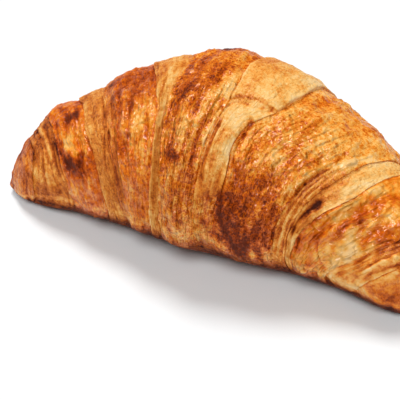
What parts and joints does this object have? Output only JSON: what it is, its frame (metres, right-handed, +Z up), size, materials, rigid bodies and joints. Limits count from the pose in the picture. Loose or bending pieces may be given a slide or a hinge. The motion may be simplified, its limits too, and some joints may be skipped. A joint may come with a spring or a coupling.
{
  "type": "croissant",
  "caption": "Whole baked croissant: a plump, gently curved crescent of rolled laminated dough with overlapping wraps, tapered ends and a flat underside.",
  "frame": {"origin": "centre of the flat underside: the middle of the length and depth, at the height of the surface that the croissant lies on", "axes": "+X from the left tip to the right tip, +Y towards the outside of the bend (the back), +Z up"},
  "size_m": [0.1706, 0.0816, 0.0639],
  "materials": {
    "baked_crust": "egg-washed, baked golden brown, satin gloss on the wraps and matt where the layers show"
  },
  "bodies": {
    "root": {"croissant": "baked_crust"}
  },
  "joints": []
}
